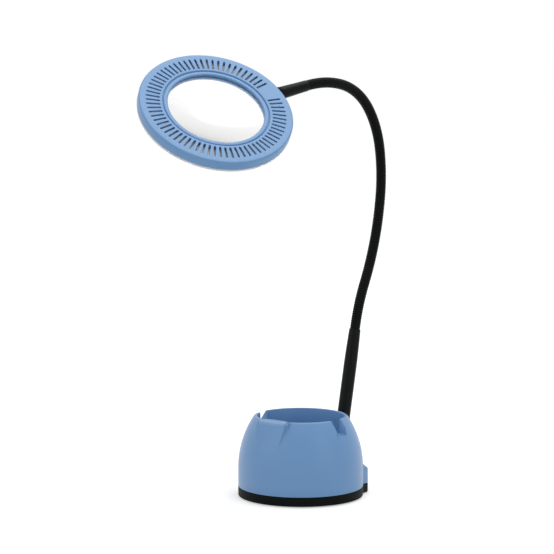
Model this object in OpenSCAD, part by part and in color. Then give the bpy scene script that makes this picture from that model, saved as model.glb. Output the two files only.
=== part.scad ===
// Ring magnifier lamp: a round lens in a slotted ring with a ring of light under it,
// on a gooseneck that stands behind a domed base with an open tool cup.
// Origin: centre of the base's underside. +Z up, button towards -Y, neck towards +Y.

/* [Base shell] */
// Outer radius of the base
base_r = 65; // [60:1:80]
// Top of the black tray, where the dome starts
ring_h = 10.5; // [8:0.5:16]
// Height at which the wall starts to curve in
curve_z = 30; // [24:1:40]
// Height of the cup's rim
rim_z = 84; // [78:1:110]
// Outer radius of the rim
rim_r = 49; // [46:0.5:54]
// Thickness of the cup's wall and rim at the top
rim_w = 3; // [3:0.5:4]
// Rounding of the rim's outer edge
rim_round = 2; // [1.5:0.25:2.5]
// Wall of the dome and of the cup
shell_w = 2.5; // [2:0.25:3]
// Radius of the cup at its floor
cup_floor_r = 43.5; // [38:0.5:45]
// Height of the cup's floor
cup_floor_z = 28; // [24:1:40]

/* [Notches] */
// Angle by which each notch sits in front of the base's middle
notch_turn = 5.5; // [0:0.5:12]
// Width of a notch at the rim
notch_top_w = 15.5; // [12:0.5:20]
// Width of a notch at its floor
notch_floor_w = 13.5; // [10:0.5:16]
// Depth of a notch
notch_depth = 14; // [8:0.5:18]

/* [Button] */
// How far the button housing's face stands in front of the rim, at its top
boss_out = 7.5; // [7:0.25:8.5]
// Radius of the button housing's face
boss_face_r = 80; // [60:5:120]
// Half width of the button housing at its top
boss_half_w = 18.6; // [15.5:0.1:21]
// Depth of the button housing's front edge below the rim
boss_drop = 2; // [1:0.5:3.5]
// Wall of the button housing
boss_wall = 2; // [1.6:0.2:2.4]
// Height of the button's crown over the rim
button_rise = 3.5; // [2:0.5:5]
// Gap round the button
button_gap = 0.3; // [0.3:0.05:0.5]

/* [Rear housing] */
// How far the rear housing stands out behind the base
housing_out = 12; // [11.5:0.25:15]
// Half width of the rear housing
housing_half_w = 39.5; // [36:0.5:46]
// Height of its sloping top at the dome
housing_top_z = 31; // [29:0.5:36]
// Height of its sloping top at the outer edge
housing_edge_z = 24; // [23:0.5:28]

/* [Neck] */
// Distance of the neck's foot behind the base's edge
foot_out = 1.5; // [0.5:0.25:2]
// Height of the neck's foot
foot_z = 19.5; // [18:0.5:22]
// Backward lean of the neck's foot
foot_lean = 13; // [10:1:14]
// Length from the foot to the first bend
sleeve_len = 150; // [120:1:180]
// Outer radius of the lower sleeve at its foot
sleeve_foot_r = 6.8; // [6.4:0.1:8.2]
// Outer radius of the lower sleeve at its top
sleeve_top_r = 5.8; // [5.7:0.1:6.2]
// Length of one stretch of the neck between two bends
link_len = 50; // [45:1:60]
// Outer radius of the neck over its ribs
crest_r = 5.1; // [5:0.05:5.3]
// Radius of the neck between its ribs
valley_r = 4.4; // [4.3:0.05:4.6]
// Radius of the neck's bore
bore_r = 3.75; // [3.6:0.05:3.8]
// Distance from rib to rib
rib_pitch = 2.5; // [2.2:0.1:4]
// Length of the upper sleeve, from the last bend to the ring
upper_len = 38; // [34:1:50]

/* [Head] */
// Outer radius of the ring
head_r = 80; // [76:1:96]
// Height of the ring's coloured wall
head_wall_h = 10; // [10:0.5:12]
// Wall of the ring
head_w = 2; // [1.8:0.1:2.2]
// Turn of the ring about the neck's end
head_roll = -46; // [-80:2:80]
// Radius of the lens
lens_r = 52; // [43:0.25:53]
// Width of the lip that covers the lens's edge
lens_lip_w = 2; // [1.5:0.5:4]
// Thickness of the lens at its edge
lens_edge = 2.4; // [2:0.2:3]
// Radius of each face of the lens
lens_face_r = 333; // [300:1:500]
// Number of slot places round the ring
slot_places = 72; // [48:4:84]
// Slot places left out over the neck's joint
slots_left_out = 3; // [3:2:7]
// Width of a slot
slot_w = 2; // [1.4:0.1:2.4]
// Distance of the slots' inner ends from the edge where the face falls to the lens
slot_in_gap = 2.2; // [1.8:0.2:6]
// Distance of the slots' outer ends from the ring's edge
slot_out_gap = 7.3; // [7:0.1:12]
// Number of lights on the board
led_count = 60; // [30:6:72]

/* [Hidden] */
$fn = 96;

blue = [0.42, 0.57, 0.75];
black = [0.09, 0.1, 0.1];
steel = [0.7, 0.71, 0.73];
board_green = [0.1, 0.4, 0.25];
white = [0.93, 0.93, 0.92];

eps = 0.01;
over = 1;                          // how far a cut runs past a face

// The dome's outline is one arc, upright where it starts and ending at the rim
dome_rise = rim_z - curve_z;
dome_inset = base_r - rim_r;
dome_arc_r = (dome_rise ^ 2 + dome_inset ^ 2) / (2 * dome_inset);
cup_top_r = rim_r - rim_w;
cup_corner = 3;
notch_z = rim_z - notch_depth;
notch_in_x = cup_floor_r - 1;
rim_round_x = base_r - dome_arc_r
    + sqrt((dome_arc_r - rim_round) ^ 2 - (dome_rise - rim_round) ^ 2);
rim_round_angle = asin((dome_rise - rim_round) / (dome_arc_r - rim_round));

// Tray
tray_z = 1;                        // underside of the tray
tray_floor = 2.5;
floor_z = tray_z + tray_floor;
lip_gap = 0.2;
lip_w = 1.5;
lip_rise = 2.5;
post_r = 4;
post_place_r = base_r - shell_w - post_r - 0.3;
pad_r = post_place_r - 6.2;        // clear of the base's screws
pad_h = 1.5;
post_angles = [30, 150, 210, 330];
post_top_z = 24;
post_rib_w = 2;                    // a rib ties each post to the wall above the tray's lip
post_rib_z = ring_h + lip_rise + 0.5;
screw_r = 1.5;
screw_gap = 0.05;
screw_head_r = 2.8;
screw_head_h = 1.8;
ballast_r = post_place_r - post_r - 4.2;
ballast_h = 12;
ballast_rear_y = 28;
ballast_screw_r = 2;
ballast_screw_place_r = 30;
ballast_screw_angles = [30, 150, 270];
free_gap = 0.25;                   // round parts that pass or stand free of each other

// Driver board and inlet
housing_r = base_r + housing_out;
driver_size = [50, 22, 1.6];
driver_y = 30;
driver_z = 9.5;
driver_post_r = 2.5;
driver_post_in = 3;
jack_size = [8, 10, 8];
jack_x = 27;
jack_z = 13.2;
jack_nose_r = 3.4;
jack_nose_gap = 0.2;
jack_bore_r = 2.8;
jack_bore_len = 9;
jack_pin_r = 0.8;
jack_axis_z = jack_z + jack_size.z / 2;
jack_wall_in_y = sqrt((housing_r - shell_w) ^ 2 - (jack_x + jack_size.x / 2) ^ 2);
jack_front_y = jack_wall_in_y - 1;
jack_nose_y = sqrt(housing_r ^ 2 - jack_x ^ 2) - 1;

// Button and its switch, under the housing's open top
boss_reach = rim_r + boss_out;
boss_top_z = rim_z - boss_drop;
boss_low_z = boss_top_z - 24;
boss_side_slope = 0.165;           // the sides draw in and the face leans out downwards
boss_face_slope = 0.175;
boss_in_r = rim_r - 2.5;
pocket_in_r = rim_r + 0.2;
button_base_z = rim_z - 6;
button_front_drop = 4.2;           // fall of the crown from back to front
button_top_z = rim_z + button_rise;
button_crown_r = 60;               // crown across the button's width
button_flat = 2;                   // level part of the crown behind its front curve
button_in_r = pocket_in_r + button_gap;
button_depth = boss_reach - boss_wall - button_gap - button_in_r - button_flat;
button_arc_r = (button_depth ^ 2 + button_front_drop ^ 2) / (2 * button_front_drop);
switch_board_z = boss_top_z - 11.6;
switch_board_t = 1.6;
board_gap = 0.3;
ledge_w = 2.2;
ledge_t = 2;
switch_size = [5.2, 5.2, 3.6];
switch_z = switch_board_z + switch_board_t;
plunger_r = 1.5;
plunger_gap = 0.1;
plunger_low_z = switch_z + 1.6;

// The switch board ends clear of the pocket's walls, and the switch sits in its middle
function boss_half(z) = boss_half_w - boss_side_slope * (boss_top_z - z);
function boss_radius(z) = boss_face_r + boss_face_slope * (boss_top_z - z);
board_half_w = boss_half(switch_board_z) - boss_wall - board_gap;
board_front_y = boss_face_r - boss_reach + board_gap
    - sqrt((boss_radius(switch_board_z) - boss_wall) ^ 2 - board_half_w ^ 2);
board_back_y = -pocket_in_r - board_gap;
switch_y = (board_front_y + board_back_y) / 2;

// Neck socket in the rear housing, measured along the neck from its foot
foot_y = base_r + foot_out;
socket_r = sleeve_foot_r + 2.2;
socket_len = 38;
socket_chamfer = 3;
shelf_low = 2;
shelf_top = 5;
sleeve_gap = 0.1;
root_r = 5;
root_gap = 0.15;
root_low = -5;
nut_h = 5;
nut_r = 8;

// Neck ends: a ball at the end of each stretch sits in the bore of the next
mouth = 1.1;
first_crest = 1.85;
ball_r = 3.2;
wire_r = 1.6;
neck_sides = 8;
bore_step = 8;
// Forward and sideways bend of each stretch, in degrees
link_bends = [[-15.5, 0], [7.5, -2], [12, 0.5], [20, 1], [30.5, -1.5], [35.5, -8], [24, -13.5]];

// Head, measured down from its top face
axis_drop = 6.5;                   // depth of the neck's axis under the top face
top_t = 2;
edge_r = 2;
lens_open_r = lens_r - lens_lip_w;
lens_lip_z = -5.4;
lens_wall_in_r = lens_r + 0.3;
lens_wall_out_r = lens_wall_in_r + head_w;
lip_r = lens_wall_out_r + 1.7;     // where the top face falls to the lens
slot_in_r = lip_r + slot_in_gap;
slot_out_r = head_r - slot_out_gap;
lens_wall_z = -9;
lens_mid_z = -7;
retainer_in_r = lens_open_r + 0.3;
retainer_out_r = lens_wall_out_r + 0.3;
retainer_gap = 0.1;
diffuser_t = 1.6;
diffuser_h = 3.2;
diffuser_r = head_r - 0.4;
diffuser_low_z = -head_wall_h - diffuser_h;
diffuser_top_z = diffuser_low_z + diffuser_t;
board_top_z = -4;
board_t = 1.6;
board_in_r = lens_wall_out_r + 3.2;
board_out_r = head_r - 3;
board_gap_x = head_r - 10.5;       // clear of the neck's joint
board_gap_half_w = 7;
peg_r = 1.4;
peg_place_r = head_r - 5.1;
peg_angles = [30, 90, 150, 210, 270, 330];
head_post_r = 2.4;
head_post_gap = 0.3;
head_post_place_r = head_r - 4.7;
head_post_angles = [60, 120, 240, 300];
head_screw_r = 1.1;
head_screw_head_r = 2;
head_screw_len = 7;
led_size = [2.8, 3.5, 0.8];
led_place_r = (board_in_r + board_out_r) / 2;

// Joint between the upper sleeve and the ring, along the neck from the ring's wall
flange_t = 1.8;
flange_r = 6.6;
nose_r = 3.4;
nose_len = 8;
nose_gap = 0.1;
spigot_r = 2.6;
spigot_gap = 0.06;
swivel_gap = 0.1;
clip_t = 0.8;
clip_r = 3.9;
groove_r = 2.2;
spigot_end = nose_len + 1.6;
collar_nut_r = 4.4;
collar_nut_t = 2;

// A frame is [point, direction, side]; side is the axis of a forward bend.
function spin(v, axis, turn) =
    v * cos(turn) + cross(axis, v) * sin(turn) + axis * (axis * v) * (1 - cos(turn));
function straight(f, s) = [f[0] + s * f[1], f[1], f[2]];
function arc_frame(f, bend, s) =
    let (w = bend[0] * f[2] + bend[1] * cross(f[1], f[2]), turn = norm(w))
    turn < eps ? straight(f, s) :
    let (
        axis = w / turn,
        centre = f[0] + link_len / (turn * PI / 180) * cross(axis, f[1]),
        part = turn * s / link_len
    )
    [centre + spin(f[0] - centre, axis, part), spin(f[1], axis, part), spin(f[2], axis, part)];
foot_frame = [[0, foot_y, foot_z], [0, sin(foot_lean), cos(foot_lean)], [1, 0, 0]];
function link_start(i) =
    i == 0 ? straight(foot_frame, sleeve_len)
           : arc_frame(link_start(i - 1), link_bends[i - 1], link_len);
neck_end = link_start(len(link_bends));
ring_wall = straight(neck_end, upper_len);
head_up = spin(cross(neck_end[1], neck_end[2]), neck_end[1], head_roll);
head_centre = ring_wall[0] + head_r * neck_end[1] + axis_drop * head_up;

// Lays z along the frame's direction and x along its side
module along(f) {
    n = cross(f[1], f[2]);
    multmatrix([
        [f[2].x, n.x, f[1].x, f[0].x],
        [f[2].y, n.y, f[1].y, f[0].y],
        [f[2].z, n.z, f[1].z, f[0].z]
    ]) children();
}

// Lays z along the ring's axis, from its top face, and x towards the neck
module on_head() {
    x = -neck_end[1];
    y = cross(head_up, x);
    multmatrix([
        [x.x, y.x, head_up.x, head_centre.x],
        [x.y, y.y, head_up.y, head_centre.y],
        [x.z, y.z, head_up.z, head_centre.z]
    ]) children();
}

module both_sides() {
    children();
    mirror([1, 0, 0]) children();
}

module at_angles(angles, r) {
    for (a = angles)
        rotate([0, 0, a]) translate([r, 0, 0]) children();
}

// ---------- base ----------

module dome_outline(inset) {
    square([base_r - inset, curve_z]);
    intersection() {
        translate([base_r - dome_arc_r, curve_z]) circle(r = dome_arc_r - inset);
        translate([0, curve_z]) square([base_r, dome_rise]);
    }
}

function cup_outline(grow) = [
    [0, cup_floor_z - grow],
    [cup_floor_r + grow - cup_corner, cup_floor_z - grow],
    [cup_floor_r + grow, cup_floor_z - grow + cup_corner],
    [cup_top_r + grow, rim_z],
    [cup_top_r + grow, rim_z + over],
    [0, rim_z + over]
];

// The corner that comes off the rim, outside four chords of a circle that touches the dome
module rim_corner() {
    far = 2 * rim_round;
    step = (90 - rim_round_angle) / 4;
    arc = [for (i = [0 : 4])
        let (a = rim_round_angle + i * step) rim_round * [cos(a), sin(a)]];
    translate([rim_round_x, rim_z - rim_round]) polygon(concat(
        [2 * arc[0] - arc[1]], [arc[1], arc[2], arc[3]], [2 * arc[4] - arc[3]],
        [[0, far], [far, far]]
    ));
}

// Turned faces start at this angle, clear of the notches, which the exact rebuild needs
module turned_shell() {
    rotate([0, 0, 45]) rotate_extrude() children();
}

module dome_solid() {
    turned_shell() difference() {
        intersection() {
            dome_outline(0);
            translate([0, ring_h]) square([base_r, rim_z]);
        }
        polygon(cup_outline(0));
        rim_corner();
    }
}

module dome_hollow() {
    difference() {
        turned_shell() difference() {
            dome_outline(shell_w);
            polygon(cup_outline(shell_w));
        }
        both_sides() notch_prism(shell_w);
    }
}

module notch_prism(grow) {
    rotate([90, 0, 90 - notch_turn]) translate([0, 0, notch_in_x])
        linear_extrude(base_r - notch_in_x) polygon([
            [-notch_floor_w / 2 - grow, notch_z - grow],
            [notch_floor_w / 2 + grow, notch_z - grow],
            [notch_top_w / 2 + grow, rim_z + over],
            [-notch_top_w / 2 - grow, rim_z + over]
        ]);
}

// The button housing's solid, drawn in by inset and cut off at r_in from the base's axis
module boss_block(inset, r_in, z0, z1) {
    low_w = boss_half(z0) - inset;
    top_w = boss_half(z1) - inset;
    difference() {
        intersection() {
            translate([0, boss_face_r - boss_reach, z0])
                cylinder(r1 = boss_radius(z0) - inset, r2 = boss_radius(z1) - inset, h = z1 - z0);
            rotate([90, 0, 0]) linear_extrude(base_r)
                polygon([[-low_w, z0], [low_w, z0], [top_w, z1], [-top_w, z1]]);
        }
        translate([0, 0, z0 - over]) cylinder(r = r_in, h = z1 - z0 + 2 * over);
    }
}

module housing_block(inset) {
    low = ring_h - (inset > 0 ? over : 0);
    inner_r = base_r - (inset > 0 ? 3 * shell_w : 1);
    slope = (housing_top_z - housing_edge_z) / (housing_r - base_r);
    edge_z = housing_edge_z - inset;
    half_w = housing_half_w - inset;
    intersection() {
        rotate_extrude() polygon([
            [inner_r, low], [housing_r - inset, low], [housing_r - inset, edge_z],
            [inner_r, edge_z + slope * (housing_r - inset - inner_r)]
        ]);
        translate([-half_w, 0, 0]) cube([2 * half_w, 2 * housing_r, rim_z]);
    }
}

module neck_socket() {
    body_len = socket_len - shelf_low - socket_chamfer;
    along(foot_frame) translate([0, 0, shelf_low]) {
        cylinder(r = socket_r, h = body_len);
        translate([0, 0, body_len])
            cylinder(r1 = socket_r, r2 = socket_r - socket_chamfer, h = socket_chamfer);
    }
}

module board_ledges() {
    low = switch_board_z - ledge_t;
    gap_w = boss_half(low) - boss_wall - ledge_w;
    difference() {
        boss_block(boss_wall / 2, boss_in_r, low, switch_board_z);
        translate([-gap_w, -base_r, low - over]) cube([2 * gap_w, base_r, ledge_t + 2 * over]);
    }
}

module base_shell() color(blue) {
    difference() {
        union() {
            difference() {
                union() {
                    difference() {
                        union() {
                            dome_solid();
                            housing_block(0);
                        }
                        dome_hollow();
                        housing_block(shell_w);
                    }
                    boss_block(0, boss_in_r, boss_low_z + over, boss_top_z);
                }
                boss_block(boss_wall, pocket_in_r, boss_low_z, rim_z + over);
            }
            neck_socket();
            board_ledges();
            at_angles(post_angles, post_place_r) {
                translate([0, 0, floor_z]) cylinder(r = post_r, h = post_top_z - floor_z);
                translate([0, -post_rib_w / 2, post_rib_z])
                    cube([base_r - shell_w - post_place_r + 1, post_rib_w, post_top_z - post_rib_z]);
            }
        }
        both_sides() notch_prism(0);
        along(foot_frame) translate([0, 0, shelf_top])
            cylinder(r = sleeve_foot_r + sleeve_gap, h = socket_len);
        along(foot_frame) translate([0, 0, shelf_low - over])
            cylinder(r = root_r + root_gap, h = socket_len);
        translate([jack_x, 0, jack_axis_z]) rotate([-90, 0, 0])
            cylinder(r = jack_nose_r + jack_nose_gap, h = housing_r);
        at_angles(post_angles, post_place_r)
            translate([0, 0, floor_z - over]) cylinder(r = screw_r + screw_gap, h = 14);
    }
}

module tray_plan(inset) {
    circle(r = base_r - inset);
    intersection() {
        circle(r = housing_r - inset);
        translate([-housing_half_w + inset, 0])
            square([2 * (housing_half_w - inset), housing_r]);
    }
}

module driver_post_places() {
    for (x = [-1, 1], y = [driver_post_in, driver_size.y - driver_post_in])
        translate([x * (driver_size.x / 2 - driver_post_in), driver_y + y, floor_z]) children();
}

module base_tray() color(black) {
    difference() {
        translate([0, 0, tray_z]) linear_extrude(ring_h - tray_z) tray_plan(0);
        translate([0, 0, floor_z]) linear_extrude(ring_h) tray_plan(shell_w);
        translate([0, 0, -eps]) cylinder(r = pad_r + free_gap, h = pad_h + eps);
        at_angles(post_angles, post_place_r) {
            cylinder(r = screw_r + free_gap, h = ring_h);
            cylinder(r = screw_head_r + free_gap, h = tray_z + screw_head_h);
        }
        at_angles(ballast_screw_angles, ballast_screw_place_r) {
            cylinder(r = ballast_screw_r + free_gap, h = ring_h);
        }
    }
    difference() {
        translate([0, 0, floor_z]) linear_extrude(ring_h + lip_rise - floor_z) difference() {
            tray_plan(shell_w + lip_gap);
            tray_plan(shell_w + lip_gap + lip_w);
        }
        at_angles(post_angles, post_place_r)
            translate([0, 0, floor_z]) cylinder(r = post_r + free_gap, h = ring_h);
    }
    driver_post_places() cylinder(r = driver_post_r, h = driver_z - floor_z);
    translate([jack_x - jack_size.x / 2 + 1, jack_front_y - jack_size.y, floor_z])
        cube([jack_size.x - 2, jack_size.y - 2, jack_z - floor_z]);
}

module foot_pad() color(black) cylinder(r = pad_r, h = pad_h);

module ballast() color(steel) {
    difference() {
        translate([0, 0, floor_z]) cylinder(r = ballast_r, h = ballast_h);
        translate([-ballast_r, ballast_rear_y, 0]) cube([2 * ballast_r, ballast_r, rim_z]);
        at_angles(ballast_screw_angles, ballast_screw_place_r)
            cylinder(r = ballast_screw_r + screw_gap, h = rim_z);
    }
}

module ballast_screws() color(steel) {
    at_angles(ballast_screw_angles, ballast_screw_place_r) translate([0, 0, pad_h]) {
        cylinder(r = ballast_screw_r, h = floor_z + ballast_h - pad_h);
        translate([0, 0, floor_z + ballast_h - pad_h])
            cylinder(r = 2 * ballast_screw_r, h = ballast_screw_r);
    }
}

module base_screws() color(steel) {
    at_angles(post_angles, post_place_r) translate([0, 0, tray_z + 0.2]) {
        cylinder(r = screw_head_r, h = screw_head_h - 0.2);
        cylinder(r = screw_r, h = 13);
    }
}

// ---------- button and electronics ----------

module power_button() color(blue) {
    crown_y = -button_in_r - button_flat;
    intersection() {
        boss_block(boss_wall + button_gap, button_in_r, button_base_z, button_top_z + over);
        translate([-boss_half_w, 0, 0]) rotate([90, 0, 90]) linear_extrude(2 * boss_half_w) {
            translate([crown_y, button_top_z - button_arc_r]) circle(r = button_arc_r);
            translate([crown_y, button_base_z]) square([base_r, button_top_z - button_base_z]);
        }
        translate([0, 0, button_top_z - button_crown_r])
            rotate([90, 0, 0]) cylinder(r = button_crown_r, h = base_r);
    }
}

module switch_plunger() color(black) {
    translate([0, switch_y, plunger_low_z])
        cylinder(r = plunger_r, h = button_base_z - plunger_low_z);
}

module switch_board() color(board_green) {
    translate([-board_half_w, board_front_y, switch_board_z])
        cube([2 * board_half_w, board_back_y - board_front_y, switch_board_t]);
}

module tact_switch() color(black) {
    difference() {
        translate([0, switch_y, switch_z + switch_size.z / 2]) cube(switch_size, center = true);
        translate([0, switch_y, switch_z + 0.3])
            cylinder(r = plunger_r + plunger_gap, h = switch_size.z);
    }
}

module driver_board() color(board_green) {
    translate([-driver_size.x / 2, driver_y, driver_z]) cube(driver_size);
}

module driver_parts() color([0.2, 0.2, 0.22]) {
    top = driver_z + driver_size.z;
    translate([-16, driver_y + 11, top]) cylinder(r = 4, h = 9);
    translate([-5, driver_y + 11, top]) cylinder(r = 3, h = 7);
    translate([3, driver_y + 6, top]) cube([9, 9, 4.5]);
    translate([15, driver_y + 7, top]) cube([5, 6, 1.8]);
}

module dc_jack() color(black) {
    difference() {
        union() {
            translate([jack_x - jack_size.x / 2, jack_front_y - jack_size.y, jack_z])
                cube(jack_size);
            translate([jack_x, jack_front_y - over, jack_axis_z]) rotate([-90, 0, 0])
                cylinder(r = jack_nose_r, h = jack_nose_y - jack_front_y + over);
        }
        translate([jack_x, jack_nose_y - jack_bore_len, jack_axis_z]) rotate([-90, 0, 0])
            cylinder(r = jack_bore_r, h = jack_bore_len + over);
    }
    translate([jack_x, jack_nose_y - jack_bore_len - eps, jack_axis_z]) rotate([-90, 0, 0])
        cylinder(r = jack_pin_r, h = jack_bore_len - 1);
}

// ---------- neck ----------

// Outline of the end that carries the ball, from the tube's end face into its bore
function ball_end(s) = concat(
    [for (a = [-20, 0, 30, 60]) [s + ball_r * sin(a), ball_r * cos(a)]],
    [[s - ball_r, wire_r], [s - ball_r - 1.5, bore_r]]
);

// Outline [distance, radius] of one ribbed stretch, along its outside and back in its bore
function link_outline(length) =
    let (
        ribs = round((length - 2 * first_crest) / rib_pitch),
        pitch = (length - 2 * first_crest) / ribs,
        bore_end = length - ball_r - 1.5,
        steps = ceil(bore_end / bore_step)
    )
    concat(
        [[mouth, valley_r], [first_crest, crest_r]],
        [for (j = [1 : ribs], half = [0.5, 0])
            [first_crest + (j - half) * pitch, half > 0 ? valley_r : crest_r]],
        [[length - mouth, valley_r]],
        ball_end(length),
        [for (j = [steps - 1 : -1 : 0]) [mouth + j * (bore_end - mouth) / steps, bore_r]]
    );

module swept_ring(outline, start, bend) {
    n = len(outline);
    points = [for (p = outline)
        let (f = arc_frame(start, bend, p[0]), up = cross(f[1], f[2]))
        for (k = [0 : neck_sides - 1])
            let (a = 360 * k / neck_sides)
            f[0] + p[1] * (cos(a) * f[2] + sin(a) * up)];
    faces = [for (i = [0 : n - 1], k = [0 : neck_sides - 1], half = [0, 1])
        let (
            j = (i + 1) % n,
            m = (k + 1) % neck_sides,
            low = i * neck_sides,
            high = j * neck_sides
        )
        half == 0 ? [low + k, high + k, high + m] : [low + k, high + m, low + m]];
    polyhedron(points, faces);
}

module neck_link(i) color(black) {
    swept_ring(link_outline(link_len), link_start(i), link_bends[i]);
}

module neck_root() color(black) {
    along(foot_frame) rotate_extrude() polygon([for (p = concat(
        [[root_low, bore_r], [root_low, root_r], [sleeve_len - first_crest, root_r]],
        [[sleeve_len - mouth, valley_r]],
        ball_end(sleeve_len)
    )) [p[1], p[0]]]);
}

module lower_sleeve() color(black) {
    top = sleeve_len - first_crest;
    in_r = root_r + sleeve_gap;
    along(foot_frame) rotate_extrude() polygon([
        [in_r, shelf_top], [sleeve_foot_r, shelf_top], [sleeve_foot_r, socket_len],
        [sleeve_top_r, top - 1], [sleeve_top_r - 0.4, top], [in_r, top]
    ]);
}

module neck_nut() color(steel) {
    along(foot_frame) translate([0, 0, shelf_low - nut_h]) difference() {
        cylinder(r = nut_r, h = nut_h, $fn = 6);
        translate([0, 0, -over]) cylinder(r = root_r + screw_gap, h = nut_h + 2 * over);
    }
}

module upper_sleeve() color(black) {
    face = upper_len - flange_t - swivel_gap;
    groove = upper_len + nose_len + swivel_gap / 2;
    along(neck_end) rotate_extrude() polygon([
        [bore_r, mouth], [valley_r, mouth], [crest_r, first_crest], [5.3, 6],
        [5.9, face], [spigot_r, face], [spigot_r, groove], [groove_r, groove],
        [groove_r, groove + clip_t + swivel_gap], [spigot_r, groove + clip_t + swivel_gap],
        [spigot_r, upper_len + spigot_end + 0.4], [wire_r, upper_len + spigot_end + 0.4],
        [wire_r, 6], [bore_r, 4.5]
    ]);
}

module swivel_clip() color(steel) {
    along(ring_wall) translate([0, 0, nose_len + swivel_gap]) difference() {
        cylinder(r = clip_r, h = clip_t);
        translate([0, 0, -over]) cylinder(r = groove_r + screw_gap, h = clip_t + 2 * over);
    }
}

// ---------- head ----------

module neck_collar() color(black) {
    in_r = spigot_r + spigot_gap;
    along(ring_wall) rotate_extrude() polygon([
        [in_r, -flange_t], [flange_r - 0.4, -flange_t], [flange_r, -flange_t + 0.4],
        [flange_r, 0], [nose_r, 0], [nose_r, nose_len], [in_r, nose_len]
    ]);
}

module collar_nut() color(steel) {
    along(ring_wall) translate([0, 0, head_w + 0.3]) difference() {
        cylinder(r = collar_nut_r, h = collar_nut_t);
        translate([0, 0, -over]) cylinder(r = nose_r + screw_gap, h = collar_nut_t + 2 * over);
    }
}

module slots() {
    first = (slots_left_out + 1) / 2;
    for (i = [first : slot_places - first])
        rotate([0, 0, 360 * i / slot_places])
            translate([slot_in_r, -slot_w / 2, -top_t - over])
                cube([slot_out_r - slot_in_r, slot_w, top_t + 2 * over]);
}

module head_cover() color(blue) on_head() {
    in_r = head_r - head_w;
    difference() {
        union() {
            rotate_extrude() polygon(concat(
                [[lens_open_r, lens_lip_z + 1], [lens_open_r + 1, lens_lip_z + 1.2], [lip_r, 0]],
                [for (a = [90 : -15 : 0])
                    [head_r - edge_r + edge_r * cos(a), -edge_r + edge_r * sin(a)]],
                [[head_r, -head_wall_h], [in_r, -head_wall_h], [in_r, -top_t], [lip_r + 1, -top_t]],
                [[lens_wall_out_r, lens_lip_z + 1], [lens_wall_out_r, lens_wall_z]],
                [[lens_wall_in_r, lens_wall_z], [lens_wall_in_r, lens_lip_z]],
                [[lens_open_r, lens_lip_z]]
            ));
            at_angles(peg_angles, peg_place_r)
                translate([0, 0, board_top_z]) cylinder(r = peg_r, h = -board_top_z - top_t + eps);
            at_angles(head_post_angles, head_post_place_r)
                translate([0, 0, diffuser_top_z])
                    cylinder(r = head_post_r, h = -diffuser_top_z - top_t + eps);
        }
        slots();
        at_angles(head_post_angles, head_post_place_r)
            translate([0, 0, diffuser_top_z - over])
                cylinder(r = head_screw_r + screw_gap, h = head_screw_len + over);
        translate([in_r - over, 0, -axis_drop]) rotate([0, 90, 0])
            cylinder(r = nose_r + nose_gap, h = head_w + 2 * over);
        translate([in_r - over, -nose_r - nose_gap, -head_wall_h - over])
            cube([head_w + 2 * over, 2 * (nose_r + nose_gap), head_wall_h + over - axis_drop]);
    }
}

module lens() color([0.85, 0.9, 0.92, 0.4]) on_head() {
    sag = lens_face_r - sqrt(lens_face_r ^ 2 - lens_r ^ 2);
    half = lens_edge / 2 + sag;
    translate([0, 0, lens_mid_z]) rotate_extrude() intersection() {
        translate([0, half - lens_face_r]) circle(r = lens_face_r, $fn = 360);
        translate([0, lens_face_r - half]) circle(r = lens_face_r, $fn = 360);
        translate([0, -half]) square([lens_r, 2 * half]);
    }
}

module lens_retainer() color(blue) on_head() {
    seat = lens_mid_z - lens_edge / 2 - 0.4;
    rotate_extrude() polygon([
        [retainer_in_r, seat], [lens_wall_in_r - 0.1, seat],
        [lens_wall_in_r - 0.1, lens_wall_z - retainer_gap],
        [retainer_out_r, lens_wall_z - retainer_gap], [retainer_out_r, diffuser_low_z],
        [retainer_in_r, diffuser_low_z]
    ]);
}

module led_board() color(white) on_head() {
    difference() {
        translate([0, 0, board_top_z - board_t]) cylinder(r = board_out_r, h = board_t);
        translate([0, 0, board_top_z - board_t - over])
            cylinder(r = board_in_r, h = board_t + 2 * over);
        translate([board_gap_x, -board_gap_half_w, board_top_z - board_t - over])
            cube([board_out_r, 2 * board_gap_half_w, board_t + 2 * over]);
        at_angles(head_post_angles, head_post_place_r)
            translate([0, 0, board_top_z - board_t - over])
                cylinder(r = head_post_r + head_post_gap, h = board_t + 2 * over);
    }
}

module leds() color([1, 0.95, 0.7]) on_head() {
    for (i = [0 : led_count - 1])
        rotate([0, 0, 360 * (i + 0.5) / led_count])
            translate([led_place_r, 0, board_top_z - board_t - led_size.z / 2])
                cube(led_size, center = true);
}

module diffuser() color([0.93, 0.94, 0.95]) on_head() {
    difference() {
        rotate_extrude() polygon([
            [retainer_out_r + 0.2, diffuser_low_z], [diffuser_r - 0.8, diffuser_low_z],
            [diffuser_r, diffuser_low_z + 0.8], [diffuser_r, -head_wall_h],
            [head_r - head_w, -head_wall_h], [head_r - head_w, diffuser_top_z],
            [retainer_out_r + 0.2, diffuser_top_z]
        ]);
        at_angles(head_post_angles, head_post_place_r)
            translate([0, 0, diffuser_low_z - over]) {
                cylinder(r = head_screw_r + free_gap, h = diffuser_h);
                cylinder(r = head_screw_head_r + free_gap, h = over + 0.9);
            }
    }
}

module head_screws() color(steel) on_head() {
    at_angles(head_post_angles, head_post_place_r) translate([0, 0, diffuser_low_z]) {
        cylinder(r = head_screw_head_r, h = 0.9);
        cylinder(r = head_screw_r, h = head_screw_len);
    }
}

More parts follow.
